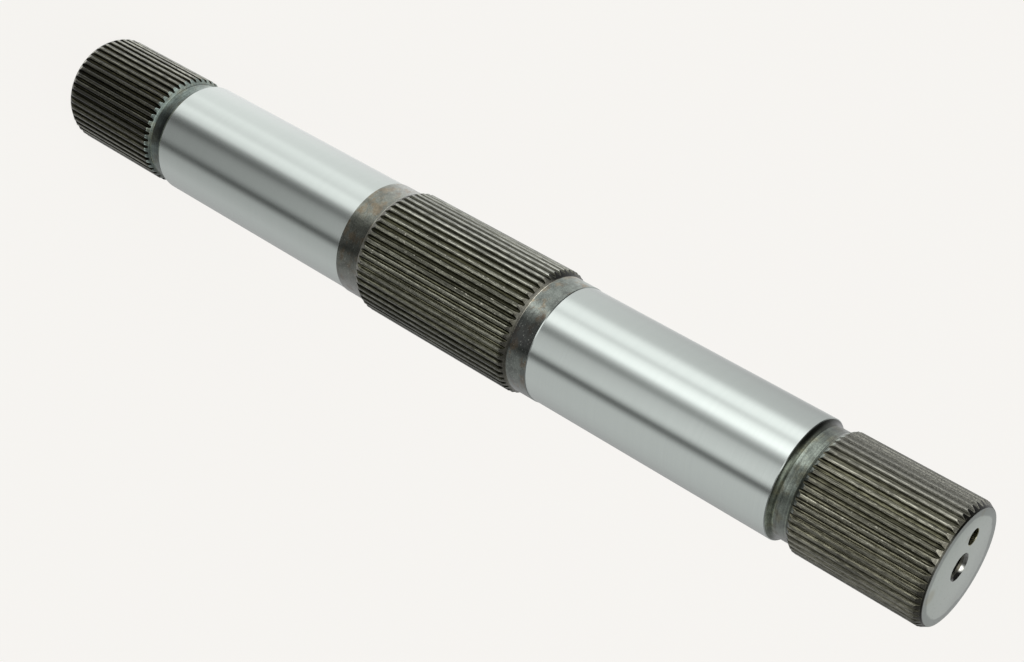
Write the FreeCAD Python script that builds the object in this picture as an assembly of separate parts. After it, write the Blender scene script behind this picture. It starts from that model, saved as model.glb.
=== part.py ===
import FreeCAD, Part

import math
import os

# Splined shaft, turned, splined and ground from one steel bar.
# It stands on one end: +Z runs up its axis, and the origin is the centre of the lower end face.
# Lengths are in millimetres. Angles are in degrees, around the axis counted from +X.

# Lengths along the axis, from the lower end face up
end_section_length = 77.5      # end face to journal, with spline and relief groove, at both ends
journal_length = 135.0         # both ground bearing seats
lower_band_length = 14.0       # black collar between the lower journal and the middle spline
middle_spline_length = 99.0    # with its two chamfers
upper_band_length = 12.0       # black collar between the middle spline and the upper journal

# Heights of each stretch above or below the ground journals, so that a bearing slides over both ends
journal_diameter = 60.0
end_tip_clearance = 0.125      # tips of the end splines below the journals
band_height = 0.35             # collars above the journals
middle_root_height = 0.7       # tooth spaces of the middle spline above the collars
journal_edge_break = 0.35

# Involute splines, cut straight through the chamfers at both ends
end_teeth = 47
middle_teeth = 52
tooth_depth = 1.35             # from the tips to the bottom of the space
tooth_addendum = 0.5           # from the tips to the circle where tooth and space are equally wide
pressure_angle = 30.0
lower_spline_turn = 2.26       # direction of one tooth space in each spline
middle_spline_turn = 6.82
upper_spline_turn = 2.93

# Chamfers, as slopes to the axis
lead_in_angle = 30.0           # at the two free ends
lead_in_clearance = 0.425      # rim of the end face below the tooth spaces
middle_chamfer_angle = 30.0    # at both ends of the middle spline
relief_chamfer_angle = 36.0    # where an end spline runs out into its relief groove

# Relief grooves between the end splines and the journals
relief_length = 9.6            # from the journal to the foot of the chamfer
relief_clearance = 0.925       # floor below the tooth spaces
relief_wall_radius = 3.0       # concave wall up to the journal

# Tapped centre hole in each end, behind a countersink and a guard recess
centre_mouth_diameter = 13.3
centre_cone_angle = 60.0
guard_diameter = 10.5
guard_length = 2.0
tap_drill_diameter = 8.5
tap_drill_depth = 26.0         # from the end face to the start of the drill point
drill_point_angle = 118.0

# Pin hole beside each centre hole, which keeps an end plate from turning
pin_hole_diameter = 8.0
pin_hole_depth = 16.0          # from the end face to the start of the drill point
pin_hole_offset = 14.3
pin_hole_turn = 180.0

# Reach of the cutting solids past the surface that they cut
overcut = 0.5

# Heights along the axis that follow from the lengths
lower_journal_end = end_section_length + journal_length
spline_start = lower_journal_end + lower_band_length
spline_end = spline_start + middle_spline_length
upper_journal_start = spline_end + upper_band_length
overall_length = upper_journal_start + journal_length + end_section_length

# Radii that follow from the heights
journal_radius = journal_diameter / 2
band_radius = journal_radius + band_height
middle_root_radius = band_radius + middle_root_height
middle_tip_radius = middle_root_radius + tooth_depth
end_tip_radius = journal_radius - end_tip_clearance
end_root_radius = end_tip_radius - tooth_depth
end_face_radius = end_root_radius - lead_in_clearance
relief_radius = end_root_radius - relief_clearance

# The relief groove's wall: a concave arc, tangent to the floor and cut off by the journal's broken edge
relief_floor_start = end_section_length - relief_length
wall_end = end_section_length - journal_edge_break
wall_end_radius = journal_radius - journal_edge_break
wall_sweep = math.acos(1 - (wall_end_radius - relief_radius) / relief_wall_radius)
wall_start = wall_end - relief_wall_radius * math.sin(wall_sweep)

origin = FreeCAD.Vector(0, 0, 0)
up = FreeCAD.Vector(0, 0, 1)
middle = FreeCAD.Vector(0, 0, overall_length / 2)


def slope_length(rise, angle):
    """Axial length of a slope that rises by rise at angle to the axis."""
    return rise / math.tan(math.radians(angle))


def point(radius, height):
    return FreeCAD.Vector(radius, 0, height)


def polyline(points):
    return [Part.makeLine(a, b) for a, b in zip(points, points[1:])]


def wall_point(sweep):
    radius = relief_radius + relief_wall_radius * (1 - math.cos(sweep))
    return point(radius, wall_start + relief_wall_radius * math.sin(sweep))


def end_edges():
    """Half outline of the lower end section, from the axis over the spline and groove to the journal."""
    lead_in_length = slope_length(end_tip_radius - end_face_radius, lead_in_angle)
    run_out_length = slope_length(end_tip_radius - relief_radius, relief_chamfer_angle)
    edges = polyline(
        [
            origin,
            point(end_face_radius, 0),
            point(end_tip_radius, lead_in_length),
            point(end_tip_radius, relief_floor_start - run_out_length),
            point(relief_radius, relief_floor_start),
            wall_point(0),
        ]
    )
    wall = Part.Arc(wall_point(0), wall_point(wall_sweep / 2), wall_point(wall_sweep))
    edges.append(wall.toShape())
    edges.append(Part.makeLine(wall_point(wall_sweep), point(journal_radius, end_section_length)))
    return edges


def middle_edges():
    """Half outline from the start of the lower journal to the end of the upper one."""
    chamfer_length = slope_length(middle_tip_radius - band_radius, middle_chamfer_angle)
    return polyline(
        [
            point(journal_radius, end_section_length),
            point(journal_radius, lower_journal_end),
            point(band_radius, lower_journal_end + band_height),
            point(band_radius, spline_start),
            point(middle_tip_radius, spline_start + chamfer_length),
            point(middle_tip_radius, spline_end - chamfer_length),
            point(band_radius, spline_end),
            point(band_radius, upper_journal_start - band_height),
            point(journal_radius, upper_journal_start),
            point(journal_radius, overall_length - end_section_length),
        ]
    )


def turned_blank():
    """The lathe's work: everything round, before the teeth and holes are cut."""
    lower_end = end_edges()
    upper_end = [edge.mirror(middle, up) for edge in reversed(lower_end)]
    axis = Part.makeLine(point(0, overall_length), origin)
    outline = Part.Wire(lower_end + middle_edges() + upper_end + [axis])
    return Part.Face(outline).revolve(origin, up, 360)


def tooth_space(tip_radius, teeth, start, end):
    """One space between two teeth, centred on +X, from the root circle to past the tips."""
    pitch_radius = tip_radius - tooth_addendum
    base_radius = pitch_radius * math.cos(math.radians(pressure_angle))
    root_radius = tip_radius - tooth_depth
    outer_radius = tip_radius + overcut

    def involute(radius):
        roll = math.acos(base_radius / radius)
        return math.tan(roll) - roll

    def flank(radius, side):
        half_angle = math.pi / (2 * teeth) + involute(radius) - involute(pitch_radius)
        across = side * radius * math.sin(half_angle)
        return FreeCAD.Vector(radius * math.cos(half_angle), across, start)

    def flank_edge(side):
        half_way = (root_radius + outer_radius) / 2
        return Part.Arc(flank(root_radius, side), flank(half_way, side), flank(outer_radius, side)).toShape()

    bottom = Part.Arc(flank(root_radius, -1), point(root_radius, start), flank(root_radius, 1))
    mouth = Part.makeLine(flank(outer_radius, 1), flank(outer_radius, -1))
    outline = Part.Wire([bottom.toShape(), flank_edge(1), mouth, flank_edge(-1)])
    return Part.Face(outline).extrude(up * (end - start))


def spline_spaces(tip_radius, teeth, start, end, turn):
    """All the tooth spaces of one spline, one of them in the direction turn."""
    spaces = []
    for index in range(teeth):
        space = tooth_space(tip_radius, teeth, start, end)
        space.rotate(origin, up, turn + index * 360 / teeth)
        spaces.append(space)
    return spaces


def drill_point_length(radius):
    return slope_length(radius, drill_point_angle / 2)


def centre_hole():
    """Countersink, guard recess, tapped hole and drill point, in the lower end."""
    mouth_radius = centre_mouth_diameter / 2
    guard_radius = guard_diameter / 2
    drill_radius = tap_drill_diameter / 2
    cone_length = slope_length(mouth_radius - guard_radius, centre_cone_angle / 2)
    past_face = overcut * math.tan(math.radians(centre_cone_angle / 2))
    guard_end = cone_length + guard_length
    shoulder_end = guard_end + slope_length(guard_radius - drill_radius, drill_point_angle / 2)
    edges = polyline(
        [
            point(0, -overcut),
            point(mouth_radius + past_face, -overcut),
            point(guard_radius, cone_length),
            point(guard_radius, guard_end),
            point(drill_radius, shoulder_end),
            point(drill_radius, tap_drill_depth),
            point(0, tap_drill_depth + drill_point_length(drill_radius)),
            point(0, -overcut),
        ]
    )
    return Part.Face(Part.Wire(edges)).revolve(origin, up, 360)


def pin_hole():
    """Plain drilled hole with a drill point, in the lower end."""
    radius = pin_hole_diameter / 2
    edges = polyline(
        [
            point(0, -overcut),
            point(radius, -overcut),
            point(radius, pin_hole_depth),
            point(0, pin_hole_depth + drill_point_length(radius)),
            point(0, -overcut),
        ]
    )
    hole = Part.Face(Part.Wire(edges)).revolve(origin, up, 360)
    hole.translate(point(pin_hole_offset, 0))
    hole.rotate(origin, up, pin_hole_turn)
    return hole


def hub_shaft():
    # Each end spline is cut from past its end face to the middle of the relief groove's floor
    end_cut = (relief_floor_start + wall_start) / 2
    spaces = spline_spaces(end_tip_radius, end_teeth, -overcut, end_cut, lower_spline_turn)
    spaces += spline_spaces(
        end_tip_radius,
        end_teeth,
        overall_length - end_cut,
        overall_length + overcut,
        upper_spline_turn,
    )
    # The middle spline is cut from over one collar to over the other
    spaces += spline_spaces(
        middle_tip_radius,
        middle_teeth,
        spline_start - overcut,
        spline_end + overcut,
        middle_spline_turn,
    )
    holes = [centre_hole(), pin_hole()]
    holes += [hole.mirror(middle, up) for hole in holes]
    return turned_blank().cut(spaces + holes)


os.makedirs("parts", exist_ok=True)
shaft = hub_shaft()
shaft.exportStep("parts/hub_shaft.step")
print("hub_shaft", len(shaft.Solids), "solid", round(shaft.Volume), "mm3", len(shaft.Faces), "faces", shaft.isValid())
print(shaft.BoundBox)
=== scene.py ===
# %% [markdown]
# The object is a splined shaft: one steel bar, turned on a lathe, with three sets of spline teeth cut
# into it and two bearing seats ground bright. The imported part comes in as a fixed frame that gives
# the size and the place. It could be dressed as it is, but its faces are cut for checking, so this
# lesson models a finer shaft of the same size over it, with broken edges, a thread and real wear.

import math

import bmesh
import bpy
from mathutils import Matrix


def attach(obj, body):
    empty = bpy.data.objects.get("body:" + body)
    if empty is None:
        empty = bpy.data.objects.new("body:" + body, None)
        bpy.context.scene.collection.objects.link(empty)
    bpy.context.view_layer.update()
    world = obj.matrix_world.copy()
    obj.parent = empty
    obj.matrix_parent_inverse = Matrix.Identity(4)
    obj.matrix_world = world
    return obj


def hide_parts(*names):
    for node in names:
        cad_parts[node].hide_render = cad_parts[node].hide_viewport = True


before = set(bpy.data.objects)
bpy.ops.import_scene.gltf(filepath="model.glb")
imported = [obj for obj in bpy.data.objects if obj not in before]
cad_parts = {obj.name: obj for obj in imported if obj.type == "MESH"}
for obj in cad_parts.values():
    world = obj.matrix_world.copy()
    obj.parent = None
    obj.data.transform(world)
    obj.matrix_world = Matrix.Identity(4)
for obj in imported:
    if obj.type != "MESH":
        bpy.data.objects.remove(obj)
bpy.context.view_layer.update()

# %% [markdown]
# Blender works in metres and the drawing of the shaft is in millimetres, so the sizes stand here once,
# as on the drawing. The shaft stands on one end with its axis on Z. Both ends are alike, which
# means that an end is modelled once and copied to the other side. Vertices closer than the seam
# gap count as one wherever two pieces of surface meet, and so do heights closer than a micrometre.

# %% Sizes from the drawing
mm = 0.001
shaft_length = 550 * mm
end_length = 77.5 * mm
journal_length = 135 * mm
journal_radius = 30 * mm
edge_break = 0.35 * mm

end_teeth = 47
end_tip_radius = 29.875 * mm
end_face_radius = 28.1 * mm
groove_radius = 27.6 * mm
groove_start = 67.9 * mm

middle_teeth = 52
middle_tip_radius = 32.4 * mm
collar_radius = 30.35 * mm
middle_spline_start = 226.5 * mm
middle_spline_end = 325.5 * mm

tooth_depth = 1.35 * mm
tooth_addendum = 0.5 * mm
pressure_angle = math.radians(30)
tip_rounding = 0.28 * mm
seam_gap = 0.005 * mm
same_height = 0.001 * mm
lower_turn, middle_turn, upper_turn = (math.radians(turn) for turn in (2.26, 6.82, 2.93))
print("journals from", end_length, "to", end_length + journal_length)

# %% [markdown]
# The camera stands where the photographer stood, looking down along the shaft from the upper end.
# Its place came from fitting a plain pinhole camera to the edges of the journals and to the round
# edges of the collars. The shaft is upright here and lies across the picture, so the camera is rolled.
# The fit left the picture about half a pixel off its centre, and the lens shift takes that up.

# %% Camera
bpy.ops.object.camera_add(
    location=(-0.2108546, -0.7402108, 0.7657116),
    rotation=[math.radians(angle) for angle in (-39.82502, -48.23792, 121.75431)],
)
camera = bpy.context.object
camera.name = "photographer"
camera.data.lens = 65.76
camera.data.sensor_width = 36
camera.data.shift_x = -0.00055
camera.data.shift_y = 0.00068
bpy.context.scene.camera = camera
print("camera with a", round(camera.data.lens, 1), "mm lens")

# %% [markdown]
# Everything round on the shaft starts as a chain of points in the plane Y = 0: distance from the axis
# along X, height along Z. The chain is drawn as by hand, from one vertex that is extruded from
# point to point. The helpers select by place, because an operator works on whatever is selected.

# %% Helpers for drawing and selecting
axis_foot = (0, 0, 0)


def draw_chain(name, points):
    """A chain of edges through (distance from the axis, height) points. Leaves it in edit mode, selected."""
    bpy.ops.object.select_all(action="DESELECT")
    bpy.ops.mesh.primitive_plane_add(size=mm)
    piece = bpy.context.object
    piece.name = name
    bpy.ops.object.mode_set(mode="EDIT")
    bpy.ops.mesh.merge(type="CENTER")
    bpy.ops.transform.translate(value=(points[0][0], 0, points[0][1]))
    for (radius, height), (next_radius, next_height) in zip(points, points[1:]):
        step = (next_radius - radius, 0, next_height - height)
        bpy.ops.mesh.extrude_vertices_move(TRANSFORM_OT_translate={"value": step})
    bpy.ops.mesh.select_all(action="SELECT")
    return piece


def select_vertices(piece, wanted):
    """Selects the vertices that pass the test, with the edges and faces between them."""
    mesh = bmesh.from_edit_mesh(piece.data)
    mesh.verts.index_update()
    mesh.select_mode = {"VERT"}
    for vertex in mesh.verts:
        vertex.select = wanted(vertex)
    mesh.select_flush_mode()
    bmesh.update_edit_mesh(piece.data)


def turn_about_axis(angle):
    """Turns what is selected about the shaft's axis. Without a window the operator turns the other way."""
    bpy.ops.transform.rotate(value=-angle, orient_axis="Z", orient_type="GLOBAL", center_override=axis_foot)


def scale_from_axis(growth):
    bpy.ops.transform.resize(value=(growth, growth, 1), center_override=axis_foot)


print("everything is turned and scaled about", axis_foot)

# %% [markdown]
# A spline tooth has involute flanks: the curve that a taut string draws as it unwinds from a circle.
# They could be cut with a boolean, but that leaves long slivers where the teeth run out through the
# chamfers. Instead half a tooth and half a space are modelled as columns of vertices. Each column
# is extruded from the last, and only its stretch inside the teeth moves outwards along the flank.
# At a chamfer all flank columns meet in one point, which gives the pointed tooth ends. The last
# columns bend over to a slightly round crown, because hobbed teeth never keep sharp corners.

# %% Flank of a tooth
def space_half_angle(radius, tip_radius, teeth):
    """Half the angle of the space between two teeth, at this distance from the axis."""
    pitch_radius = tip_radius - tooth_addendum
    base_radius = pitch_radius * math.cos(pressure_angle)

    def involute(distance):
        roll = math.acos(base_radius / distance)
        return math.tan(roll) - roll

    return math.pi / (2 * teeth) + involute(radius) - involute(pitch_radius)


def flank_columns(tip_radius, teeth):
    """Per column: radius and angle in the teeth, angle where the teeth run out, angle on the round parts."""
    root_radius = tip_radius - tooth_depth
    quarter, half = math.pi / (2 * teeth), math.pi / teeth
    foot = space_half_angle(root_radius, tip_radius, teeth)
    columns = [(root_radius, 0, 0, 0)]
    flank_middle = 0.55 * tooth_depth
    for depth in (tooth_depth, flank_middle, tip_rounding):
        radius = tip_radius - depth
        columns.append((radius, space_half_angle(radius, tip_radius, teeth), foot, quarter))
    edge = columns[-1][1]
    crown_curve = 2.5
    for share in (2 / 3, 1 / 3):
        drop = tip_rounding * share ** crown_curve
        columns.append((tip_radius - drop, half - share * (half - edge), foot, quarter))
    columns.append((tip_radius, half, half, half))
    return columns


print("half a pitch has", len(flank_columns(end_tip_radius, end_teeth)), "columns")

# %% [markdown]
# One half pitch is all that is modelled. Mirrored, it is a whole pitch, and a spin that copies it
# instead of sweeping it lays one after the other round the axis, until their seams meet.

# %% Full ring of teeth
def spline_ring(name, rings, tip_radius, teeth, turn):
    """A full ring of teeth, from rings of (radius, height, kind). The kind is round, run out or teeth."""
    root_radius = tip_radius - tooth_depth
    chain = [(root_radius if kind == "teeth" else radius, height) for radius, height, kind in rings]
    piece = draw_chain(name, chain)
    heights = {
        kind: [height for _, height, ring_kind in rings if ring_kind == kind]
        for kind in ("teeth", "run out", "round")
    }
    columns = flank_columns(tip_radius, teeth)
    for number, (last, new) in enumerate(zip(columns, columns[1:]), 1):
        bpy.ops.mesh.extrude_region_move()
        first = number * len(rings)
        for place, kind in enumerate(("teeth", "run out", "round"), 1):
            select_vertices(
                piece,
                lambda vertex: vertex.index >= first
                and min(abs(vertex.co.z - height) for height in heights[kind]) < same_height,
            )
            turn_about_axis(new[place] - last[place])
            if kind == "teeth":
                scale_from_axis(new[0] / last[0])
        select_vertices(piece, lambda vertex: vertex.index >= first)
    bpy.ops.mesh.select_all(action="SELECT")
    bpy.ops.mesh.duplicate()
    bpy.ops.transform.resize(value=(1, -1, 1), center_override=axis_foot)
    bpy.ops.mesh.select_all(action="SELECT")
    bpy.ops.mesh.spin(steps=teeth, angle=math.tau, center=axis_foot, axis=(0, 0, 1), dupli=True)
    bpy.ops.mesh.select_all(action="SELECT")
    bpy.ops.mesh.remove_doubles(threshold=seam_gap)
    turn_about_axis(turn)
    bpy.ops.object.mode_set(mode="OBJECT")
    print(name, "has", teeth, "teeth and", len(piece.data.polygons), "faces")
    return piece


print("the end splines have", end_teeth, "teeth and the middle one", middle_teeth)

# %% [markdown]
# An end of the shaft runs from the rim of the end face over a 30 degree chamfer and the teeth into
# the relief groove, whose concave wall rises to the journal. Sharp edges catch no light and real
# ones do, so the rim of the face and the foot of each chamfer get a narrow bevel of their own.

# %% Lower end
end_root_radius = end_tip_radius - tooth_depth
lead_in = math.tan(math.radians(30))
run_out = math.tan(math.radians(36))


def even_rings(radius, start, end, count):
    """Rings inside the teeth, evenly spread from start to end."""
    return [(radius, start + (end - start) * step / count, "teeth") for step in range(count + 1)]


wall_radius = 3 * mm
wall_steps = 6
wall_end = end_length - edge_break
wall_sweep = math.acos(1 - (journal_radius - edge_break - groove_radius) / wall_radius)
wall_start = wall_end - wall_radius * math.sin(wall_sweep)
wall_rings = [
    (
        groove_radius + wall_radius * (1 - math.cos(wall_sweep * step / wall_steps)),
        wall_start + wall_radius * math.sin(wall_sweep * step / wall_steps),
        "round",
    )
    for step in range(wall_steps + 1)
]

rim_inset, rim_rise, rim_height = 0.2 * mm, 0.06 * mm, 0.12 * mm
foot_rise, foot_before, foot_after = 0.1 * mm, 0.14 * mm, 0.12 * mm
end_rings = [
    (end_face_radius - rim_inset, 0, "round"),
    (end_face_radius + rim_rise, rim_height, "round"),
    (end_root_radius, (end_root_radius - end_face_radius) / lead_in, "run out"),
]
end_rings += even_rings(
    end_tip_radius,
    (end_tip_radius - end_face_radius) / lead_in,
    groove_start - (end_tip_radius - groove_radius) / run_out,
    count=24,
)
end_rings += [
    (end_root_radius, groove_start - (end_root_radius - groove_radius) / run_out, "run out"),
    (groove_radius + foot_rise, groove_start - foot_before, "round"),
    (groove_radius, groove_start + foot_after, "round"),
]
end_rings += wall_rings + [(journal_radius, end_length, "round")]
lower_end = spline_ring("lower_end", end_rings, end_tip_radius, end_teeth, lower_turn)

# %% [markdown]
# The middle of the shaft has larger teeth on a thicker stretch, with a plain collar on either side.
# It is made by the same steps, from its own rings.

# %% Middle section
middle_root_radius = middle_tip_radius - tooth_depth
lower_seat_end = end_length + journal_length
upper_seat_start = shaft_length - lower_seat_end
root_run = (middle_root_radius - collar_radius) / lead_in
tip_run = (middle_tip_radius - collar_radius) / lead_in

collar_rise, collar_reach = 0.06 * mm, 0.1 * mm
middle_rings = [
    (journal_radius, lower_seat_end, "round"),
    (collar_radius, lower_seat_end + edge_break, "round"),
    (collar_radius, middle_spline_start - collar_reach, "round"),
    (collar_radius + collar_rise, middle_spline_start + collar_reach, "round"),
    (middle_root_radius, middle_spline_start + root_run, "run out"),
]
middle_rings += even_rings(
    middle_tip_radius, middle_spline_start + tip_run, middle_spline_end - tip_run, count=36
)
middle_rings += [
    (middle_root_radius, middle_spline_end - root_run, "run out"),
    (collar_radius + collar_rise, middle_spline_end - collar_reach, "round"),
    (collar_radius, middle_spline_end + collar_reach, "round"),
    (collar_radius, upper_seat_start - edge_break, "round"),
    (journal_radius, upper_seat_start, "round"),
]
middle = spline_ring("middle", middle_rings, middle_tip_radius, middle_teeth, middle_turn)

# %% [markdown]
# Each end face has a tapped centre hole and a plain pin hole. The centre hole opens in a 60 degree
# countersink, so that the shaft can be held between centres for grinding, and a short recess guards
# the first thread. Its outline, with every thread groove, is drawn once and spun round the axis.

# %% Holes of the lower end
def spun_hole(name, outline, steps):
    """A hole spun from its outline. Leaves it in edit mode, selected."""
    hole = draw_chain(name, outline)
    bpy.ops.mesh.spin(steps=steps, angle=math.tau, center=axis_foot, axis=(0, 0, 1))
    bpy.ops.mesh.select_all(action="SELECT")
    bpy.ops.mesh.remove_doubles(threshold=seam_gap)
    return hole


thread_pitch, thread_start, thread_turns = 1.5 * mm, 4.1 * mm, 14
drill_radius, thread_radius = 4.25 * mm, 4.9 * mm
groove_profile = [
    (drill_radius, 0), (thread_radius, 0.42 * mm), (thread_radius, 0.6 * mm), (drill_radius, 1.02 * mm),
]
thread_outline = [
    (radius, thread_start + thread_pitch * turn_number + rise)
    for turn_number in range(thread_turns)
    for radius, rise in groove_profile
]
recess_radius = 5.25 * mm
cone_change, recess_start, recess_end = 1.4 * mm, 2.42 * mm, 3.3 * mm
centre_outline = [(6.85 * mm, 0), (6.65 * mm, 0.12 * mm), (5.87 * mm, cone_change)]
centre_outline += [(recess_radius, recess_start), (recess_radius, recess_end), (drill_radius, 3.9 * mm)]
centre_outline += thread_outline + [(drill_radius, 26 * mm), (0, 28.55 * mm)]
centre_hole = spun_hole("centre_hole", centre_outline, steps=56)
bpy.ops.object.mode_set(mode="OBJECT")

pin_radius, pin_bevel, pin_offset = 4 * mm, 0.2 * mm, 14.3 * mm
pin_outline = [(pin_radius + pin_bevel, 0), (pin_radius, pin_bevel), (pin_radius, 16 * mm), (0, 18.4 * mm)]
pin_hole = spun_hole("pin_hole", pin_outline, steps=40)
bpy.ops.transform.translate(value=(-pin_offset, 0, 0))
bpy.ops.object.mode_set(mode="OBJECT")
print("centre hole has", len(centre_hole.data.polygons), "faces")

# %% [markdown]
# The end face is flat, with two round openings. The rim of the teeth and the rims of both holes are
# open loops of edges at height zero, and one fill lays the face between them. The end is then
# whole, and a mirrored copy of it becomes the upper end, turned to its own tooth positions.

# %% End face, and the upper end as a copy
def join_into(target, others):
    bpy.ops.object.select_all(action="DESELECT")
    for piece in [target] + others:
        piece.select_set(True)
    bpy.context.view_layer.objects.active = target
    bpy.ops.object.join()


join_into(lower_end, [centre_hole, pin_hole])
bpy.ops.object.mode_set(mode="EDIT")
select_vertices(lower_end, lambda vertex: abs(vertex.co.z) < same_height)
bpy.ops.mesh.fill()
bpy.ops.object.mode_set(mode="OBJECT")

bpy.ops.object.select_all(action="DESELECT")
lower_end.select_set(True)
bpy.ops.object.duplicate()
upper_end = bpy.context.object
upper_end.name = "upper_end"
bpy.ops.object.mode_set(mode="EDIT")
bpy.ops.mesh.select_all(action="SELECT")
bpy.ops.transform.resize(value=(1, 1, -1), center_override=(0, 0, shaft_length / 2))
select_vertices(upper_end, lambda vertex: vertex.co.xy.length > end_face_radius - 0.3 * mm)
turn_about_axis(upper_turn - lower_turn)
bpy.ops.object.mode_set(mode="OBJECT")
print("each end has", len(lower_end.data.polygons), "faces")

# %% [markdown]
# The journals are plain cylinders between rings that have different numbers of vertices. A bridge
# between the two open loops closes that gap with long narrow triangles. On a cylinder they lie
# perfectly flat against the curve, so the mirror-like surface shows no kink.

# %% Journals, and one closed shell
shaft = lower_end
shaft.name = "splined_shaft"
join_into(shaft, [middle, upper_end])
bpy.ops.object.mode_set(mode="EDIT")
for low in (end_length, upper_seat_start):
    seat_ends = (low, low + journal_length)
    select_vertices(
        shaft,
        lambda vertex: min(abs(vertex.co.z - height) for height in seat_ends) < same_height
        and vertex.co.xy.length > journal_radius - 0.01 * mm,
    )
    bpy.ops.mesh.bridge_edge_loops()
bpy.ops.mesh.select_all(action="SELECT")
bpy.ops.mesh.remove_doubles(threshold=seam_gap)
bpy.ops.mesh.normals_make_consistent(inside=False)
bpy.ops.object.mode_set(mode="OBJECT")
bpy.ops.object.shade_smooth_by_angle(angle=math.radians(28))

open_edges = bmesh.new()
open_edges.from_mesh(shaft.data)
loose = sum(1 for edge in open_edges.edges if len(edge.link_faces) != 2)
open_edges.free()
shaft.data.calc_loop_triangles()
print("the shaft has", len(shaft.data.loop_triangles), "triangles and", loose, "open edges")

# %% [markdown]
# Light comes from a plain studio all round. A ground journal shows it as bands along its length, so the
# studio is written as strips from top to bottom: a softbox, a dark gap beside it, and even grey
# walls. Their widths and levels were tuned until the bands on the journals stood where they should.
# Shallow and steep directions below the horizon have strips of their own, blended by height. Level
# and high directions have theirs too, for the bottoms of the tooth spaces and for the end face.

# %% Strips of the studio, as (degrees from the front of the shaft, level)
front_azimuth = math.radians(254.1)
shallow_strips = [
    (-180, 0.8), (-152, 0.66), (-140, 0.68), (-120, 0.83), (-84, 0.94), (-76, 1.5), (-68, 2.04),
    (-56, 2.08), (-48, 1.25), (-44, 1.42), (-40, 1.9), (-32, 2.43), (-24, 2.75), (-20, 2.2), (-16, 1.45),
    (-10, 0.77), (-4, 0.64), (4, 1.28), (12, 1.43), (32, 1.63), (38, 1.28), (41, 0.85), (45, 0.22),
    (48, 0.19), (51, 0.38), (56, 0.92), (62, 1.17), (100, 1.0), (120, 0.88), (150, 0.58), (172, 0.4),
]
steep_strips = [
    (-180, 1.05), (-152, 1.2), (-140, 1.39), (-120, 1.57), (-84, 1.57), (-76, 1.72), (-68, 1.56),
    (-56, 1.37), (-48, 1.52), (-44, 1.7), (-40, 1.70), (-32, 1.42), (-24, 1.08), (-20, 0.58), (-16, 0.31),
    (-10, 0.18), (-4, 0.15), (4, 0.28), (12, 0.38), (32, 0.38), (38, 0.3), (41, 0.25), (45, 0.16),
    (48, 0.1), (51, 0.14), (56, 0.33), (62, 0.62), (100, 0.86), (120, 0.78), (150, 0.58), (172, 0.52),
]
level_strips = [
    (-180, 0.8), (-150, 0.85), (-120, 0.9), (-90, 1.2), (-70, 2.3), (-30, 2.6), (-16, 1.4), (-5, 0.35),
    (10, 0.15), (40, 0.08), (70, 0.12), (110, 0.22), (150, 0.5),
]
high_strips = [
    (-180, 0.9), (-160, 0.4), (-140, 0.1), (-60, 0.1), (-35, 0.6), (-20, 1.8), (15, 1.8), (35, 0.4),
    (60, 0.25), (120, 0.3), (160, 0.8),
]
print("strips:", len(shallow_strips), len(steep_strips), len(level_strips), len(high_strips))

# %% [markdown]
# All nodes of the lesson are placed by the same few helpers. They could be placed by hand in the
# node editor, but a helper names each step, and the same steps then serve light and steel alike.

# %% Helpers for nodes
def add_node(tree, kind, place, **settings):
    node = tree.nodes.new(kind)
    node.location = place
    for name, value in settings.items():
        setattr(node, name, value)
    return node


def feed(value, socket):
    """Links an output to the socket, or sets a plain value on it."""
    if isinstance(value, bpy.types.NodeSocket):
        socket.id_data.links.new(value, socket)
    else:
        socket.default_value = value


def feed_all(node, values):
    """Feeds several sockets of a node, by their names or their places."""
    for label, value in values.items():
        feed(value, node.inputs[label])


def maths(tree, operation, first, second=0.0, third=0.0, place=(0, 0)):
    node = add_node(tree, "ShaderNodeMath", place, operation=operation)
    for value, socket in zip((first, second, third), node.inputs):
        feed(value, socket)
    return node.outputs[0]


def product(tree, factors, place=(0, 0)):
    """Multiplies numbers and outputs, one after the other."""
    result = factors[0]
    for number, factor in enumerate(factors[1:]):
        result = maths(tree, "MULTIPLY", result, factor, place=(place[0] + 150 * number, place[1]))
    return result


def inverse(tree, value, place=(0, 0)):
    return maths(tree, "SUBTRACT", 1, value, place=place)


def mix_numbers(tree, mask, first, second, place=(0, 0)):
    node = add_node(tree, "ShaderNodeMix", place)
    feed_all(node, {"Factor": mask, "A": first, "B": second})
    return node.outputs["Result"]


print("node helpers are ready")

# %% [markdown]
# A colour ramp that runs once round the compass turns a list of strips into light. Further down it also
# places the zones of painted light and shade, oil and wear round the shaft, so both read the same kind of
# list.

# %% Ramps round the compass
def strip_ramp(tree, strips, compass, place):
    """A colour ramp that runs once round the compass, through (degrees, level) stops."""
    ramp = add_node(tree, "ShaderNodeValToRGB", place)
    stops = ramp.color_ramp.elements
    top = 3.0  # highest level that a stop can ask for
    stops[0].position = 0
    stops[1].position = 1
    for stop in stops:
        stop.color = (strips[0][1] / top,) * 3 + (1,)
    for degrees, level in strips[1:]:
        stop = stops.new((degrees + 180) / 360)
        stop.color = (level / top,) * 3 + (1,)
    feed(compass, ramp.inputs[0])
    return maths(tree, "MULTIPLY", ramp.outputs[0], top, place=(place[0] + 280, place[1]))


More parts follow.
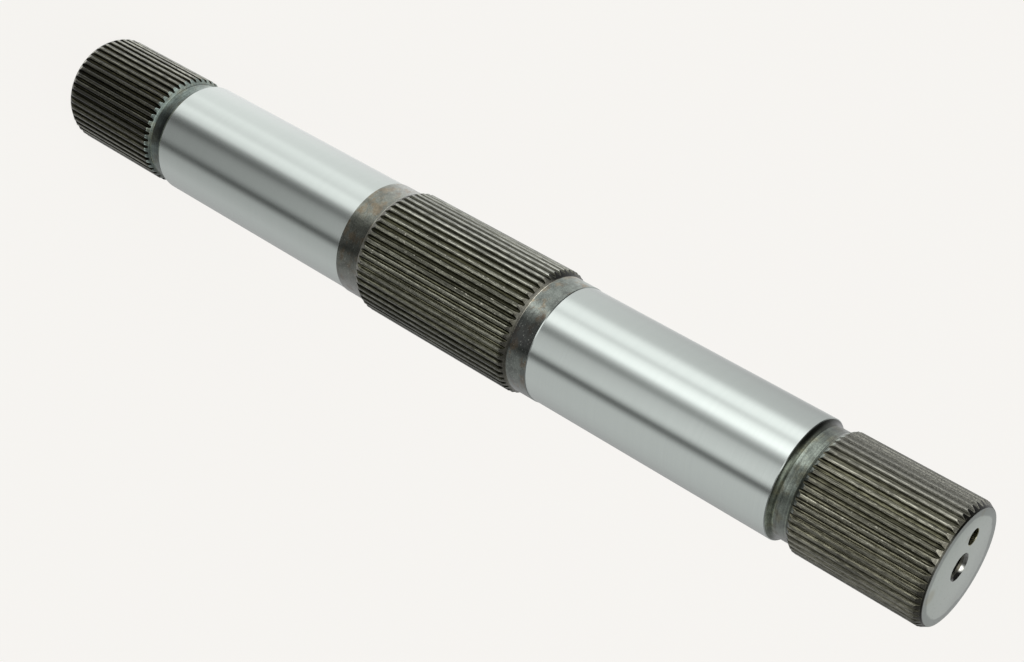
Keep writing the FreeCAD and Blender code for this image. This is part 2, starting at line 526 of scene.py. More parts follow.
def round_the_axis(tree, vector):
    """Compass reading of a vector, from 0 to 1 with 0.5 at the front, and its parts once turned there."""
    turned = add_node(tree, "ShaderNodeVectorRotate", (-1200, 0), rotation_type="Z_AXIS")
    feed_all(turned, {"Angle": -front_azimuth, "Vector": vector})
    parts = add_node(tree, "ShaderNodeSeparateXYZ", (-1000, 0))
    feed(turned.outputs[0], parts.inputs[0])
    azimuth = maths(tree, "ARCTAN2", parts.outputs["Y"], parts.outputs["X"], place=(-800, 100))
    compass = maths(tree, "MULTIPLY_ADD", azimuth, 1 / math.tau, 0.5, place=(-600, 100))
    return compass, parts.outputs


def blend_by_height(tree, height, start, end, first, second, place):
    """Goes from the first light to the second one as the direction's height goes from start to end."""
    share = add_node(tree, "ShaderNodeMapRange", (place[0] - 200, place[1] - 250))
    feed_all(share, {"Value": height, "From Min": start, "From Max": end})
    return mix_numbers(tree, share.outputs["Result"], first, second, place)


print("the front of the shaft faces", round(math.degrees(front_azimuth), 1), "degrees")

# %% [markdown]
# The world blends the four sets of strips by the height of the direction. The camera itself sees a
# plain pale backdrop instead, as it would in a room with a paper sweep behind the shaft.

# %% Studio light
world = bpy.data.worlds.new("studio")
bpy.context.scene.world = world
world.use_nodes = True
tree = world.node_tree
tree.nodes.clear()
direction = add_node(tree, "ShaderNodeTexCoord", (-1400, 0)).outputs["Generated"]
compass, parts = round_the_axis(tree, direction)
height = parts["Z"]
shallow = strip_ramp(tree, shallow_strips, compass, (-400, 300))
steep = strip_ramp(tree, steep_strips, compass, (-400, 0))
low_light = blend_by_height(tree, height, -0.36, -0.68, shallow, steep, (0, 100))
sideways = strip_ramp(tree, level_strips, compass, (-400, 600))
wall_light = blend_by_height(tree, height, -0.32, -0.08, low_light, sideways, (150, 100))
high = strip_ramp(tree, high_strips, compass, (-400, 900))
level = blend_by_height(tree, height, 0.25, 0.5, wall_light, high, (300, 300))

studio = add_node(tree, "ShaderNodeBackground", (300, 100))
feed_all(studio, {"Color": (1, 1, 1, 1), "Strength": level})
backdrop = add_node(tree, "ShaderNodeBackground", (300, -100))
feed((0.922, 0.905, 0.880, 1), backdrop.inputs["Color"])
seen = add_node(tree, "ShaderNodeLightPath", (300, 400)).outputs["Is Camera Ray"]
choice = add_node(tree, "ShaderNodeMixShader", (550, 100))
feed_all(choice, {0: seen, 1: studio.outputs[0], 2: backdrop.outputs[0]})
output = add_node(tree, "ShaderNodeOutputWorld", (800, 100))
feed(choice.outputs[0], output.inputs["Surface"])
print("studio light from", len(tree.nodes), "nodes")

# %% [markdown]
# The floor is a plain pale plane that shows the shaft's shadow faintly, as the pale paper under a
# product does. Mirrors and the light itself pass it by, since the journals show the room, not paper.

# %% Floor
bpy.ops.object.select_all(action="DESELECT")
bpy.ops.mesh.primitive_plane_add(size=12, location=(0, 0, -0.2 * mm))
floor = bpy.context.object
floor.name = "floor"
floor.visible_glossy = floor.visible_diffuse = floor.visible_shadow = False

paper_colour = (0.962, 0.945, 0.915, 1)
paper = bpy.data.materials.new("pale_paper")
paper.use_nodes = True
tree = paper.node_tree
tree.nodes.clear()
glow = add_node(tree, "ShaderNodeEmission", (0, 100))
feed(paper_colour, glow.inputs["Color"])
matt = add_node(tree, "ShaderNodeBsdfDiffuse", (0, -100))
feed(paper_colour, matt.inputs["Color"])
blend = add_node(tree, "ShaderNodeMixShader", (250, 0))
shadow_share = 0.1
feed_all(blend, {0: shadow_share, 1: glow.outputs[0], 2: matt.outputs[0]})
output = add_node(tree, "ShaderNodeOutputMaterial", (500, 0))
feed(blend.outputs[0], output.inputs["Surface"])
floor.data.materials.append(paper)
print("floor is", floor.dimensions.x, "m wide")

# %% [markdown]
# Marks and zones are laid out by where a point lies on the shaft, read from Object coordinates in
# metres. They stay on the steel from wherever it is seen, and they need no unwrapping.

# %% Helpers for places on the shaft
def new_group(name, numbers, outputs):
    """A node group with number inputs and outputs, and the sockets inside it to build on."""
    group = bpy.data.node_groups.new(name, "ShaderNodeTree")
    for label, value in numbers.items():
        group.interface.new_socket(label, in_out="INPUT", socket_type="NodeSocketFloat").default_value = value
    for label in outputs:
        group.interface.new_socket(label, in_out="OUTPUT", socket_type="NodeSocketFloat")
    inside = add_node(group, "NodeGroupInput", (-900, 0)).outputs
    result = add_node(group, "NodeGroupOutput", (900, 0)).inputs
    return group, inside, result


def object_parts(tree):
    """X, Y and Z of the point on the object, in metres."""
    place = add_node(tree, "ShaderNodeTexCoord", (-1400, -200)).outputs["Object"]
    parts = add_node(tree, "ShaderNodeSeparateXYZ", (-1200, -200))
    feed(place, parts.inputs[0])
    return parts.outputs["X"], parts.outputs["Y"], parts.outputs["Z"]


def from_axis(tree, x, y):
    """Distance of the point from the shaft's axis."""
    squares = maths(tree, "MULTIPLY", x, x, place=(-1000, -400))
    squares = maths(tree, "MULTIPLY_ADD", y, y, squares, place=(-850, -400))
    return maths(tree, "SQRT", squares, place=(-700, -400))


def stretched_noise(tree, across, along):
    """Noise with its own scale across the shaft and along it, in marks per metre."""
    x, y, z = object_parts(tree)
    vector = add_node(tree, "ShaderNodeCombineXYZ", (-500, 0))
    for number, (part, scale) in enumerate(((x, across), (y, across), (z, along))):
        feed(maths(tree, "MULTIPLY", part, scale, place=(-700, -200 * number)), vector.inputs[number])
    noise = add_node(tree, "ShaderNodeTexNoise", (-300, 0))
    feed_all(noise, {"Vector": vector.outputs[0], "Scale": 1.0, "Detail": 4, "Roughness": 0.6})
    return noise.outputs["Fac"]


def between(tree, value, low, high, place=(0, 0)):
    """0 below low, 1 above high, smooth between them."""
    node = add_node(tree, "ShaderNodeMapRange", place, interpolation_type="SMOOTHSTEP")
    feed_all(node, {"Value": value, "From Min": low, "From Max": high})
    return node.outputs["Result"]


print("place helpers are ready")

# %% [markdown]
# Several finishes share the same marks: rings left by a lathe or a grinding wheel, cloudy patches,
# specks, and streaks along the teeth. All are noise that is stretched along or across the shaft, so
# one node group makes them. It gives a mask between 0 and 1 that a finish uses as it likes. A
# second group says where round the axis a point lies.

# %% Shared marks as node groups
marks, inside, result = new_group(
    "steel_marks", {"Across": 400, "Along": 400, "Low": 0.4, "High": 0.6}, ["Mask", "Height"]
)
noise = stretched_noise(marks, inside["Across"], inside["Along"])
feed(between(marks, noise, inside["Low"], inside["High"], (200, 0)), result["Mask"])
feed(noise, result["Height"])

round_axis, inside, result = new_group("place_round_the_axis", {}, ["Compass", "Radius", "Height"])
place = add_node(round_axis, "ShaderNodeTexCoord", (-1400, 0)).outputs["Object"]
compass, parts = round_the_axis(round_axis, place)
feed(compass, result["Compass"])
feed(from_axis(round_axis, parts["X"], parts["Y"]), result["Radius"])
feed(parts["Z"], result["Height"])
print("node groups:", [group.name for group in bpy.data.node_groups])

# %% [markdown]
# Each finish is a Principled shader with its plain numbers set on its own sockets, and the marks
# mixed into its colour, its roughness and a bump. These small helpers keep the finishes short.

# %% Helpers for finishes
def new_finish(name, roughness):
    """A plain steel to start from, with its tree and its shader."""
    finish = bpy.data.materials.new(name)
    finish.use_nodes = True
    tree = finish.node_tree
    shader = tree.nodes["Principled BSDF"]
    shader.location = (900, 0)
    tree.nodes["Material Output"].location = (1200, 0)
    feed_all(shader, {"Roughness": roughness, "Metallic": 1.0})
    return finish, tree, shader


def mark(tree, across, along, low, high, place=(0, 0)):
    """Places the marks group with its own scales. Returns its mask and height."""
    node = add_node(tree, "ShaderNodeGroup", place, node_tree=marks)
    feed_all(node, {"Across": across, "Along": along, "Low": low, "High": high})
    return node.outputs["Mask"], node.outputs["Height"]


def mix_colours(tree, mask, first, second, place=(0, 0), blend="MIX"):
    node = add_node(tree, "ShaderNodeMix", place, data_type="RGBA", blend_type=blend)
    first, second = (value + (1,) if isinstance(value, tuple) else value for value in (first, second))
    feed_all(node, {"Factor": mask, 6: first, 7: second})  # its colour sockets have no names of their own
    return node.outputs[2]


def scaled(colour, level):
    return tuple(level * part for part in colour)


def shaded(tree, colour, level, place=(0, 0)):
    """The colour of a socket times a number."""
    tint = add_node(tree, "ShaderNodeCombineColor", (place[0] - 200, place[1] - 200))
    for socket in tint.inputs:
        feed(level, socket)
    return mix_colours(tree, 1.0, colour, tint.outputs[0], place, "MULTIPLY")


def bump(tree, shader, height, distance, strength=1.0):
    node = add_node(tree, "ShaderNodeBump", (700, -300))
    feed_all(node, {"Strength": strength, "Distance": distance, "Height": height})
    feed(node.outputs["Normal"], shader.inputs["Normal"])


print("finish helpers are ready")

# %% [markdown]
# The journals are ground on a cylindrical grinder. The wheel leaves very fine lines around the shaft,
# which spread a reflection along it and keep it crisp across. That is what anisotropy does, with
# its tangent turned from around the shaft to along it.

# %% Ground journals
ground_steel, tree, shader = new_finish("ground_steel", roughness=0.2)
lines, line_height = mark(tree, 6, 5000, 0.3, 0.7, (-300, 200))
haze, _ = mark(tree, 25, 8, 0.35, 0.65, (-300, -100))
colour = mix_colours(tree, lines, (0.395, 0.428, 0.409), (0.425, 0.458, 0.438), (200, 200))
feed(colour, shader.inputs["Base Color"])
feed(mix_numbers(tree, haze, 0.19, 0.215, (200, -100)), shader.inputs["Roughness"])
around = add_node(tree, "ShaderNodeTangent", (600, -500), direction_type="RADIAL", axis="Z")
feed_all(shader, {"Anisotropic": 0.5, "Anisotropic Rotation": 0.25, "Tangent": around.outputs[0]})
bump(tree, shader, line_height, 0.001 * mm)
print("ground steel, roughness about 0.2")

# %% [markdown]
# The teeth were cut and then heat treated, which leaves a brown-black scale, and the bottoms of the spaces
# stay black with oil. On top of that, one side of each crown is painted lit and the other painted shaded, and
# the spaces are painted darker where they run out. So a finish needs to know where in its tooth a point lies:
# how far round from the middle of the space, and how near to the end. Zones round the shaft say where a film
# of oil and fresh nicks lie, and where one flank of each space is painted lit and the other painted shaded.

# %% Where a point lies in its tooth
film_zone = [(-180, 0), (-48, 0), (-20, 0.8), (0, 1), (40, 1), (75, 0.4), (120, 0)]
lit_flank_zone = [(-180, 0), (-10, 0), (8, 0.7), (16, 1), (32, 1), (44, 0.4), (52, 0)]
nick_zone = [(-180, 0.25), (-50, 0.25), (-18, 1), (14, 1), (30, 0.35), (180, 0.25)]
# Which side of each crown is painted lit and which painted shaded, by the angle round the shaft.
lit_crown_side_zone = [(-180, 1), (-150, 2), (-4, 2), (20, 0), (150, 0)]
film_colour = (1.0, 0.99, 0.895)
nick_colour = (0.5, 0.49, 0.41)


def place_in_tooth(tree, compass, teeth, turn):
    """0 in the middle of a tooth space, 0.5 on the middle of the next tooth, 1 in the next space."""
    offset = teeth * ((front_azimuth - turn) / math.tau - 0.5) % 1
    turns = maths(tree, "MULTIPLY_ADD", compass, teeth, offset, place=(-1000, 1500))
    return maths(tree, "FRACT", turns, place=(-900, 1500))


def lit_crown_side(tree, compass, phase):
    """1 on the side of each crown that is painted lit and 0 on its side that is painted shaded, which change
    places at the front.
    """
    phase = maths(tree, "SUBTRACT", phase, 0.5, place=(-800, 1500))
    lean = strip_ramp(tree, lit_crown_side_zone, compass, (-1000, 1750))
    lean = maths(tree, "SUBTRACT", lean, 1, place=(-600, 1750))
    side = maths(tree, "MULTIPLY", phase, lean, place=(-500, 1500))
    return between(tree, side, -0.07, 0.04, (-350, 1500))


def near_tooth_ends(tree, height, centre, reach):
    """0 along the teeth, rising to 1 where the tooth spaces run out at both ends."""
    past = maths(tree, "SUBTRACT", height, centre, place=(-1000, 1200))
    past = maths(tree, "ABSOLUTE", past, place=(-850, 1200))
    return between(tree, past, reach - 5 * mm, reach - 1.5 * mm, (-700, 1200))


print("zones round the teeth:", len(film_zone), len(lit_flank_zone), len(nick_zone), len(lit_crown_side_zone))

# %% [markdown]
# The colour of the teeth follows the depth below the crown, broken up by specks and streaks. In one zone
# round the shaft crown and space look nearly alike: the spaces are painted lighter than the crowns, a painted
# fill light that takes out their shade, with fine sand in place of long specks. The teeth could share one
# steel, but they kept different scale, so a function makes one for each set.

# %% Finish of the teeth
def tooth_finish(name, form, colours, roughness, oil, grain, wear, around, even):
    """Steel of one set of teeth. The form is tip radius, teeth, turn, middle height and half the length."""
    tip_radius, teeth, turn, centre, reach = form
    shaded_crown, lit_crown, flank, bottom = colours
    finish, tree, shader = new_finish(name, roughness)
    place = add_node(tree, "ShaderNodeGroup", (-1200, 400), node_tree=round_axis).outputs
    compass = place["Compass"]
    phase = place_in_tooth(tree, compass, teeth, turn)
    depth = maths(tree, "SUBTRACT", tip_radius, place["Radius"], place=(-1000, 500))
    depth = maths(tree, "DIVIDE", depth, tooth_depth, place=(-900, 500))
    below_crown = between(tree, depth, 0.2, 0.34, (-600, 400))
    in_bottom = between(tree, depth, 0.8, 0.99, (-600, 250))
    evenness = strip_ramp(tree, even, compass, (-750, 900))

    specks, speck_height = mark(tree, 2600, 260, 0.38, 0.62, (-900, 0))
    sand, _ = mark(tree, 2600, 1900, 0.38, 0.62, (-900, 200))
    streaks, _ = mark(tree, 1300, 30, 0.4, 0.6, (-900, -250))
    nicks, _ = mark(tree, 1300, 500, 0.62, 0.67, (-900, -500))
    specks = mix_numbers(tree, evenness, specks, sand, (-700, 0))
    streaks = mix_numbers(tree, evenness, streaks, 0.5, (-700, -250))

    # Painted light: the lit half of each crown is lighter than its shaded half.
    crown = mix_colours(tree, lit_crown_side(tree, compass, phase), shaded_crown, lit_crown, (-450, 600))
    space = mix_colours(tree, in_bottom, flank, bottom, (-450, 400))
    # Painted light and shade: in this zone one flank of each space is painted three times as light and the
    # other nearly black.
    lit_flanks_and_bare_pits = strip_ramp(tree, lit_flank_zone, compass, (-750, 1900))
    shaded_flank = between(tree, phase, 0.66, 0.72, (-800, 2000))
    lit_and_shaded_space = mix_colours(tree, shaded_flank, scaled(flank, 3), scaled(bottom, 0.3), (-500, 1900))
    space = mix_colours(tree, lit_flanks_and_bare_pits, space, lit_and_shaded_space, (-380, 400))
    colour = mix_colours(tree, below_crown, crown, space, (-300, 500))
    # In the even zone the spaces are painted lighter than the crowns, a painted fill light that takes out
    # their shade.
    plain = mix_colours(tree, below_crown, scaled(lit_crown, 0.6), scaled(lit_crown, 0.85), (-300, 700))
    colour = mix_colours(tree, evenness, colour, plain, (-150, 500))
    film = strip_ramp(tree, film_zone, compass, (-750, 800))
    colour = mix_colours(tree, film, colour, film_colour, (0, 500), "MULTIPLY")

    # Painted shade: the spaces are darkened to half where they run out at both ends.
    at_ends = near_tooth_ends(tree, place["Height"], centre, reach)
    painted_end_shade = product(tree, (at_ends, below_crown, inverse(tree, evenness, (-500, 1350))), (-400, 1200))
    # The ramp of the list around paints light and shade on the teeth by their angle round the shaft.
    shades = (
        mix_numbers(tree, specks, 1 - grain, 1 + 0.8 * grain, (-600, 0)),
        mix_numbers(tree, streaks, 0.64, 1.36, (-600, -200)),
        strip_ramp(tree, around, compass, (-750, 1000)),
        mix_numbers(tree, painted_end_shade, 1.0, 0.5, (-100, 1200)),
    )
    colour = shaded(tree, colour, product(tree, shades, (-400, 0)), (150, 300))
    on_crown = inverse(tree, below_crown, (-500, -500))
    nicked = strip_ramp(tree, nick_zone, compass, (-750, -700))
    rubbed = product(tree, (nicks, on_crown, wear, nicked), (-300, -500))
    colour = mix_colours(tree, rubbed, colour, nick_colour, (400, 300))
    feed(colour, shader.inputs["Base Color"])
    matt = mix_numbers(tree, specks, roughness + 0.06, roughness - 0.04, (150, -100))
    feed(mix_numbers(tree, rubbed, matt, 0.28, (400, -100)), shader.inputs["Roughness"])
    feed(mix_numbers(tree, below_crown, oil, 0.0, (400, -300)), shader.inputs["Coat Weight"])
    feed(0.22, shader.inputs["Coat Roughness"])
    bump(tree, shader, speck_height, 0.03 * mm, 0.7)
    return finish


print("nicks show steel of", nick_colour)

# %% [markdown]
# The upper teeth are the lightest and rubbed all along, the lower ones kept the most oil, and the middle ones
# were worn bright by what they carried. Each set has its own zones round the shaft, given as (degrees from
# the front, level), for the painted light and shade on it and for the zone where crown and space look alike.

# %% Three sets of teeth
upper_teeth = tooth_finish(
    "upper_teeth", (end_tip_radius, end_teeth, upper_turn, 516.8 * mm, 32.5 * mm),
    [(0.085, 0.084, 0.068), (0.195, 0.194, 0.17), (0.10, 0.098, 0.077), (0.075, 0.074, 0.053)],
    roughness=0.38, oil=0.1, grain=0.42, wear=0.5,
    around=[
        (-180, 1), (-50, 1.1), (-20, 1.05), (0, 0.88), (20, 0.98), (40, 0.85), (60, 1.05), (75, 0.8),
        (90, 0.3), (150, 0.9),
    ],
    even=[
        (-180, 0), (-85, 0.5), (-74, 0.9), (-52, 0.9), (-44, 0.5), (-34, 0.2), (-24, 0), (45, 0),
        (60, 0.3), (100, 0.3), (130, 0),
    ],
)
lower_teeth = tooth_finish(
    "lower_teeth", (end_tip_radius, end_teeth, lower_turn, 33.2 * mm, 32.5 * mm),
    [(0.03, 0.03, 0.022), (0.12, 0.12, 0.1), (0.024, 0.0235, 0.015), (0.019, 0.018, 0.009)],
    roughness=0.3, oil=0.3, grain=0.5, wear=0.12,
    around=[
        (-180, 1), (-90, 1.2), (-60, 1.6), (-42, 1.25), (-20, 0.8), (0, 0.53), (25, 0.5), (45, 0.72),
        (62, 0.85), (76, 0.7), (90, 0.3),
    ],
    even=[(-180, 0), (180, 0)],
)
middle_teeth_steel = tooth_finish(
    "middle_teeth", (middle_tip_radius, middle_teeth, middle_turn, 276 * mm, 48.3 * mm),
    [(0.065, 0.066, 0.053), (0.19, 0.193, 0.17), (0.06, 0.06, 0.044), (0.024, 0.024, 0.015)],
    roughness=0.32, oil=0.2, grain=0.42, wear=0.85,
    around=[
        (-180, 1), (-90, 1.2), (-60, 1.55), (-42, 1.25), (-20, 1.25), (0, 0.95), (22, 1.12), (40, 0.65),
        (60, 0.43), (74, 0.35), (90, 0.12), (150, 0.8),
    ],
    even=[(-180, 0), (-90, 0.3), (-60, 0.35), (-44, 0.1), (-34, 0), (180, 0)],
)
print("teeth:", upper_teeth.name, lower_teeth.name, middle_teeth_steel.name)

# %% [markdown]
# The grooves, collars and chamfers are turned, then darkened by the same heat: grey-green, with brown
# patches where the scale is thicker, and the lathe's rings still showing through. On the collars
# small bare pits shine through. It is one steel with other numbers, so one function makes it.

# %% Dark turned steel
def turned_finish(name, plain, brown, roughness, oil=0.0, ringed=0.2, around=((-180, 1),), pitted=0.0):
    """Turned steel with brown patches. The list around paints light and shade at each angle round the shaft.
    """
    finish, tree, shader = new_finish(name, roughness)
    feed_all(shader, {"Coat Weight": oil, "Coat Roughness": 0.16})
    place = add_node(tree, "ShaderNodeGroup", (-1200, 400), node_tree=round_axis).outputs
    rings, ring_height = mark(tree, 14, 2600, 0.3, 0.7, (-900, 200))
    patches, patch_height = mark(tree, 130, 200, 0.5, 0.66, (-900, -50))
    clouds, _ = mark(tree, 230, 260, 0.35, 0.65, (-900, -300))
    specks, speck_height = mark(tree, 1700, 1700, 0.35, 0.65, (-900, -550))
    pits, _ = mark(tree, 1200, 1200, 0.62, 0.68, (-900, -800))
    raggedness = 0.05
    ragged = maths(tree, "MULTIPLY_ADD", patch_height, raggedness, place["Compass"], place=(-800, 800))
    ragged = maths(tree, "SUBTRACT", ragged, raggedness / 2, place=(-700, 800))
    patched = maths(tree, "MULTIPLY", patches, 0.6, place=(-400, 0))
    colour = mix_colours(tree, patched, plain, brown, (-300, 200))
    # The ramp of the list around paints light and shade by the angle round the shaft.
    shades = (
        mix_numbers(tree, rings, 1 - ringed, 1 + ringed, (-500, -100)),
        mix_numbers(tree, specks, 0.8, 1.25, (-500, -300)),
        mix_numbers(tree, clouds, 0.8, 1.2, (-500, -500)),
        strip_ramp(tree, around, ragged, (-550, 800)),
    )
    colour = shaded(tree, colour, product(tree, shades, (-300, -100)), (250, 200))
    lit_flanks_and_bare_pits = maths(tree, "MULTIPLY", pits, pitted, place=(250, -200))
    colour = mix_colours(tree, lit_flanks_and_bare_pits, colour, (0.3, 0.31, 0.28), (450, 200))
    feed(colour, shader.inputs["Base Color"])
    patched_roughness = mix_numbers(tree, patches, roughness, roughness + 0.1, (200, -100))
    feed(patched_roughness, shader.inputs["Roughness"])
    height = maths(tree, "MULTIPLY_ADD", speck_height, 0.5, ring_height, place=(400, -300))
    bump(tree, shader, height, 0.015 * mm, 0.6)
    return finish


print("turned steel is ready to be placed")

# %% [markdown]
# Each stretch has its own zones of painted light and shade round the axis, with ragged borders, over its
# brown patches of scale: first the collars beside the middle spline, the two relief grooves, and the cones
# where the end splines run out into them.

# %% Collars, grooves and cones
upper_collar = turned_finish(
    "upper_collar", (0.10, 0.112, 0.1), (0.125, 0.085, 0.045),
    roughness=0.28, oil=0.4, ringed=0.1,
    around=[
        (-180, 1.0), (-96, 1.6), (-84, 3.0), (-72, 2.7), (-60, 1.95), (-46, 1.5), (-36, 0.95), (-23, 0.9),
        (-15, 1.6), (-10, 0.7), (-3, 0.4), (6, 0.22), (16, 0.15), (25, 0.45), (32, 0.75), (75, 0.8),
        (87, 0.3), (150, 0.9),
    ],
    pitted=0.45,
)
lower_collar = turned_finish(
    "lower_collar", (0.105, 0.112, 0.094), (0.12, 0.085, 0.045),
    roughness=0.28, oil=0.4, ringed=0.1,
    around=[
        (-180, 1.0), (-96, 1.3), (-84, 1.8), (-70, 1.6), (-55, 1.4), (-35, 1.0), (-14, 1.2), (-5, 1.1),
        (5, 0.65), (25, 0.45), (33, 0.7), (75, 0.7), (87, 0.3), (150, 0.9),
    ],
    pitted=0.45,
)
upper_groove = turned_finish(
    "upper_groove", (0.13, 0.149, 0.128), (0.13, 0.127, 0.085),
    roughness=0.3, oil=0.3, ringed=0.25,
    around=[
        (-180, 1.0), (-70, 0.7), (-50, 0.75), (-38, 1.0), (-12, 1.1), (5, 0.95), (16, 1.2), (26, 0.65),
        (75, 0.65), (87, 0.3), (150, 0.9),
    ],
)
lower_groove = turned_finish(
    "lower_groove", (0.12, 0.147, 0.133), (0.12, 0.125, 0.095),
    roughness=0.3, oil=0.15, ringed=0.25,
    around=[
        (-180, 1.0), (-96, 1.4), (-82, 2.6), (-65, 1.5), (-45, 1.05), (-25, 0.65), (-5, 0.28), (15, 0.15),
        (25, 0.3), (35, 0.65), (90, 0.65), (150, 0.9),
    ],
)
upper_cone = turned_finish(
    "upper_cone", (0.13, 0.147, 0.13), (0.13, 0.125, 0.085),
    roughness=0.3, oil=0.3, ringed=0.25,
    around=[
        (-180, 1.0), (-75, 1.6), (-55, 1.3), (-45, 1.35), (-25, 1.0), (-12, 0.65), (20, 0.58), (35, 0.75),
        (60, 0.65), (90, 0.5), (150, 0.9),
    ],
)
lower_cone = turned_finish(
    "lower_cone", (0.12, 0.147, 0.133), (0.12, 0.125, 0.095),
    roughness=0.3, oil=0.3, ringed=0.25,
    around=[
        (-180, 1.0), (-75, 1.9), (-58, 1.1), (-30, 0.95), (-10, 0.8), (5, 1.4), (15, 2.3), (45, 2.9),
        (60, 1.8), (75, 0.75), (90, 0.6), (150, 0.9),
    ],
)
print("turned:", upper_collar.name, lower_collar.name, upper_groove.name, lower_groove.name)

# %% [markdown]
# Small faces catch the eye because they lean another way: the grooves' concave walls, the sloping ends of the
# teeth, and the rims. They get their own versions of the turned steel, lighter or darker than the rest, and
# their zones round the shaft paint deep shade where they face one way and bright highlights where they face
# another.

# %% Walls, tooth ends and rims
# The walls are painted dark over most angles and bright over one span: painted shade and light.
wall_steel = turned_finish(
    "wall_steel", (0.07, 0.081, 0.063), (0.08, 0.078, 0.045),
    roughness=0.28, oil=0.2, ringed=0.2,
    around=[
        (-180, 0.3), (-80, 0.3), (-58, 0.35), (-45, 0.42), (-35, 0.5), (-15, 1.0), (5, 1.6), (15, 1.5),
        (25, 1.75), (38, 2.8), (55, 2.8), (66, 1.5), (90, 0.65), (150, 0.5),
    ],
)
# Nearly black over one span of angles round the shaft: a painted dark reflection.
tip_ends = turned_finish(
    "tip_ends", (0.22, 0.215, 0.175), (0.16, 0.15, 0.11),
    roughness=0.34, oil=0.1, ringed=0.2,
    around=[
        (-180, 0.6), (-90, 0.3), (-79, 0.2), (-75, 0.03), (-40, 0.03), (-33, 0.7), (-28, 1.0), (4, 1.1),
        (14, 0.7), (40, 0.35), (120, 0.5),
    ],
)
middle_tip_ends = turned_finish(
    "middle_tip_ends", (0.11, 0.108, 0.09), (0.1, 0.095, 0.07),
    roughness=0.34, oil=0.1, ringed=0.2,
    around=[
        (-180, 0.8), (-90, 0.3), (-76, 0.08), (-52, 0.08), (-44, 0.8), (10, 1.1), (25, 1.4), (60, 1.5),
        (80, 1.1), (120, 0.8),
    ],
)
# A painted highlight: a bright line on the ring where the middle teeth start, lit only over a narrow span of
# angles.
painted_highlight_ring = turned_finish(
    "painted_highlight_ring", (0.42, 0.4, 0.34), (0.3, 0.27, 0.2),
    roughness=0.24, oil=0.0, ringed=0.1,
    around=[(-180, 0.3), (-60, 0.2), (-40, 0.9), (6, 0.9), (16, 0.25), (90, 0.2)],
)
# Dark scale on the rim, with painted shade over most angles round the shaft.
rim_scale_and_shade = turned_finish(
    "rim_scale_and_shade", (0.10, 0.10, 0.085), (0.06, 0.055, 0.035),
    roughness=0.38, oil=0.1, ringed=0.2,
    around=[
        (-180, 0.6), (-80, 0.2), (-60, 0.08), (-26, 0.12), (-14, 0.7), (0, 0.9), (20, 0.5), (60, 0.3),
        (120, 0.5),
    ],
)
print("turned:", wall_steel.name, tip_ends.name, painted_highlight_ring.name, rim_scale_and_shade.name)

# %% [markdown]
# The end faces were faced bright after the heat: satin grey, with faint rings round the centre, small
# pits, and a darker band near the rim where the scale was not cut away. A drop of oil has left a
# round stain on the lower half. Noise in one dimension, read by the radius, gives the rings.

# %% End faces
faced_steel, tree, shader = new_finish("faced_steel", roughness=0.36)
x, y, _ = object_parts(tree)
radius = from_axis(tree, x, y)
waves, _ = mark(tree, 60, 60, 0.3, 0.7, (-900, 100))
pits, _ = mark(tree, 900, 900, 0.61, 0.67, (-900, -100))
smears, _ = mark(tree, 110, 110, 0.60, 0.74, (-900, -300))
edge = maths(tree, "MULTIPLY_ADD", waves, 1.2 * mm, radius, place=(-600, 300))
rim = between(tree, edge, 24.6 * mm, 25.6 * mm, (-400, 300))
colour = mix_colours(tree, rim, (0.40, 0.432, 0.402), (0.30, 0.322, 0.305), (-200, 300))
dark_pits = product(tree, (pits, mix_numbers(tree, rim, 0.4, 0.7, (-400, 0))), (-200, 0))
colour = mix_colours(tree, dark_pits, colour, (0.16, 0.15, 0.13), (100, 300))

drop_x, drop_y = 12 * mm, -19.5 * mm
across = maths(tree, "ADD", x, -drop_x, place=(-900, -600))
down = maths(tree, "ADD", y, -drop_y, place=(-900, -700))
from_drop = maths(tree, "MULTIPLY_ADD", waves, 2 * mm, from_axis(tree, across, down), place=(-400, -600))
drop = inverse(tree, between(tree, from_drop, 2.5 * mm, 6 * mm, (-200, -600)), (0, -600))
smeared = product(tree, (smears, 0.35), (0, -400))
stained = maths(tree, "MAXIMUM", smeared, product(tree, (drop, 0.4), (100, -600)), place=(200, -400))
colour = mix_colours(tree, stained, colour, (0.27, 0.25, 0.18), (300, 300))
feed(colour, shader.inputs["Base Color"])
feed(mix_numbers(tree, rim, 0.36, 0.44, (300, 0)), shader.inputs["Roughness"])
facing_rings = add_node(tree, "ShaderNodeTexNoise", (300, -300), noise_dimensions="1D")
feed_all(facing_rings, {"Scale": 4000, "W": radius})
bump(tree, shader, facing_rings.outputs["Fac"], 0.004 * mm)
print("end face:", faced_steel.name, "with a stain at", (drop_x, drop_y))

# %% [markdown]
# The holes were cut after the heat, so they are bare steel. The countersink is polished by the grinder's
# centre; its mouth and the recess get bright steel with a painted highlight on the far wall, and the rest of
# the hole down to the thread is painted dark as shade.

# %% Holes
# The list around paints a highlight on the far wall of the countersink.
countersink_steel = turned_finish(
    "countersink_steel", (0.55, 0.56, 0.53), (0.4, 0.38, 0.32),
    roughness=0.13, oil=0.0, ringed=0.1,
    around=[
        (-180, 1.3), (-171, 1.3), (-160, 0.35), (-120, 0.5), (0, 0.3), (120, 0.12), (160, 0.2), (171, 1.3),
    ],
)
hole_painted_shade = turned_finish("hole_painted_shade", (0.12, 0.12, 0.1), (0.08, 0.07, 0.05), roughness=0.24)
pin_hole_steel = turned_finish("pin_hole_steel", (0.42, 0.41, 0.28), (0.2, 0.18, 0.1), roughness=0.25)
print("holes:", countersink_steel.name, hole_painted_shade.name, pin_hole_steel.name)

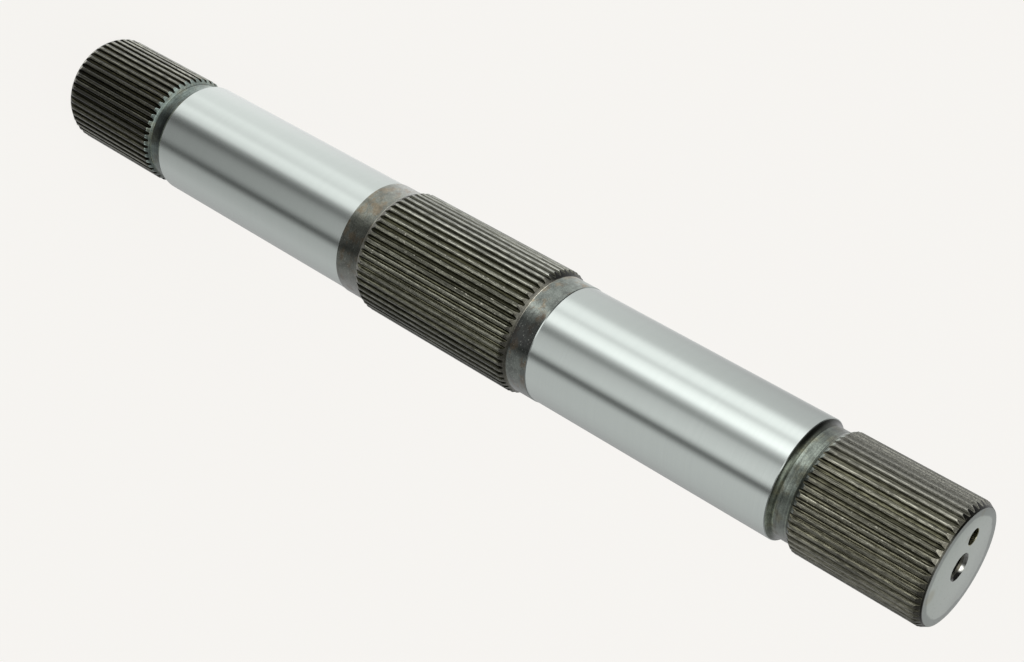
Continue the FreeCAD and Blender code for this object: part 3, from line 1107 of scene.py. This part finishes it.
# %% [markdown]
# Each face of the shaft gets its finish from its place: how far it is from the nearer end, how far
# from the axis, and on the chamfers its slope, which tells a chamfer from a tooth flank. Picking
# faces by hand would mean picking thousands, and again after every change to the shape.

# %% Which finish a face gets
hole_reach = 20 * mm  # nothing but the holes and the end faces lies nearer to the axis
centre_hole_reach = 8 * mm  # the pin hole lies further out than this
at_face, at_rim = 0.05 * mm, 5 * mm  # how far an end face and the chamfer at its rim reach in
flat, chamfer_slope, wall_slope = 0.999, 0.3, 0.05  # as the height part of a face's normal


def hole_finish(radius, from_end):
    if radius > centre_hole_reach:
        return pin_hole_steel
    # The mouth of the countersink and the recess get bright steel; the rest of the hole is painted dark as
    # shade.
    bright = from_end < cone_change or recess_start < from_end < recess_end
    return countersink_steel if bright else hole_painted_shade


def end_finish(from_end, radius, slope, upper):
    """Finish of a face of an end section, from its distance to the end face, to the axis and its slope."""
    if from_end > groove_start - foot_before:
        if slope > wall_slope:
            return wall_steel
        return upper_groove if upper else lower_groove
    if slope < chamfer_slope:
        return upper_teeth if upper else lower_teeth
    if from_end < at_rim:
        return rim_scale_and_shade if radius < end_root_radius else tip_ends
    return upper_cone if upper else lower_cone


def middle_finish(height, slope, upper):
    """Finish of a face between the journals, from its height and its slope."""
    if min(abs(height - middle_spline_start), abs(height - middle_spline_end)) < at_face:
        return painted_highlight_ring
    if middle_spline_start < height < middle_spline_end:
        return middle_tip_ends if slope > chamfer_slope else middle_teeth_steel
    if slope > chamfer_slope:
        return ground_steel
    return upper_collar if upper else lower_collar


def finish_for(face):
    height, radius, slope = face.center.z, face.center.xy.length, abs(face.normal.z)
    from_end = min(height, shaft_length - height)
    upper = height > shaft_length / 2
    if radius < hole_reach and slope < flat:
        return hole_finish(radius, from_end)
    if from_end < at_face:
        return faced_steel
    if from_end < wall_end:
        return end_finish(from_end, radius, slope, upper)
    if from_end < lower_seat_end:
        return ground_steel
    return middle_finish(height, slope, upper)


print("holes lie within", hole_reach, "m of the axis")

# %% [markdown]
# A mesh keeps a list of finishes, and each face keeps a number in that list. So the list is filled
# first, and the rule above then runs once over all faces.

# %% Finishes onto faces
finishes = [
    ground_steel, upper_teeth, lower_teeth, middle_teeth_steel, upper_collar, lower_collar, upper_groove,
    lower_groove, upper_cone, lower_cone, wall_steel, tip_ends, middle_tip_ends, painted_highlight_ring,
    rim_scale_and_shade, faced_steel, countersink_steel, hole_painted_shade, pin_hole_steel,
]
shaft.data.materials.clear()
for finish in finishes:
    shaft.data.materials.append(finish)
for face in shaft.data.polygons:
    face.material_index = finishes.index(finish_for(face))
print("finishes:", [finish.name for finish in shaft.data.materials])

# %% [markdown]
# The new shaft rides on the imported part's only body and stands for its only solid, which is hidden.

# %% Hand over
bpy.context.scene.view_settings.view_transform = "Standard"
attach(shaft, "root")
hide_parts("hub_shaft")
